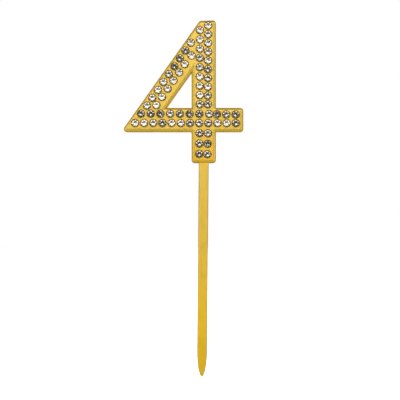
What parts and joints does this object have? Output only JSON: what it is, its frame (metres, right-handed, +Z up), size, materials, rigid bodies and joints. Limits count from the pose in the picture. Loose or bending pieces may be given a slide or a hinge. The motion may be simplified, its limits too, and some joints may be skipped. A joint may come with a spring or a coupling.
{
  "type": "number cake topper pick",
  "caption": "Gold plastic figure four on a flat pointed pick, its face set with rows of small foil-backed round stones.",
  "frame": {"origin": "middle of the pick's root, where it leaves the underside of the number's foot, half way through the plate", "axes": "+Z up along the number, -Y the way the stone-set face looks, +X to the reader's right; the pick runs down -Z"},
  "size_m": [0.0427, 0.0037, 0.127],
  "materials": {
    "gold_plastic": "satin metallic gold",
    "crystal": "clear faceted, silver foil behind",
    "clear_glue": "clear hardened glue"
  },
  "bodies": {
    "root": {"bar_column_01_stones": "crystal", "bar_column_02_stones": "crystal", "bar_column_03_stones": "crystal", "bar_column_04_stones": "crystal", "bar_column_05_stones": "crystal", "bar_column_06_stones": "crystal", "bar_column_07_stones": "crystal", "bar_column_08_stones": "crystal", "bar_column_09_stones": "crystal", "bar_column_10_stones": "crystal", "bar_column_11_stones": "crystal", "bar_column_12_stones": "crystal", "bar_glue_dots": "clear_glue", "diagonal_glue_dots": "clear_glue", "diagonal_inner_stone_01": "crystal", "diagonal_inner_stone_02": "crystal", "diagonal_inner_stone_03": "crystal", "diagonal_inner_stone_04": "crystal", "diagonal_inner_stone_05": "crystal", "diagonal_inner_stone_06": "crystal", "diagonal_inner_stone_07": "crystal", "diagonal_outer_stone_01": "crystal", "diagonal_outer_stone_02": "crystal", "diagonal_outer_stone_03": "crystal", "diagonal_outer_stone_04": "crystal", "diagonal_outer_stone_05": "crystal", "diagonal_outer_stone_06": "crystal", "diagonal_outer_stone_07": "crystal", "diagonal_outer_stone_08": "crystal", "diagonal_outer_stone_09": "crystal", "foot_glue_dots": "clear_glue", "foot_left_stone_01": "crystal", "foot_left_stone_02": "crystal", "foot_left_stone_03": "crystal", "foot_right_stone_01": "crystal", "foot_right_stone_02": "crystal", "foot_right_stone_03": "crystal", "number_and_pick": "gold_plastic", "stem_glue_dots": "clear_glue", "stem_left_stone_01": "crystal", "stem_left_stone_02": "crystal", "stem_left_stone_03": "crystal", "stem_left_stone_04": "crystal", "stem_left_stone_05": "crystal", "stem_left_stone_06": "crystal", "stem_left_stone_07": "crystal", "stem_left_stone_08": "crystal", "stem_left_stone_09": "crystal", "stem_right_stone_01": "crystal", "stem_right_stone_02": "crystal", "stem_right_stone_03": "crystal", "stem_right_stone_04": "crystal", "stem_right_stone_05": "crystal", "stem_right_stone_06": "crystal", "stem_right_stone_07": "crystal", "stem_right_stone_08": "crystal", "stem_right_stone_09": "crystal", "stem_right_stone_10": "crystal"}
  },
  "joints": []
}
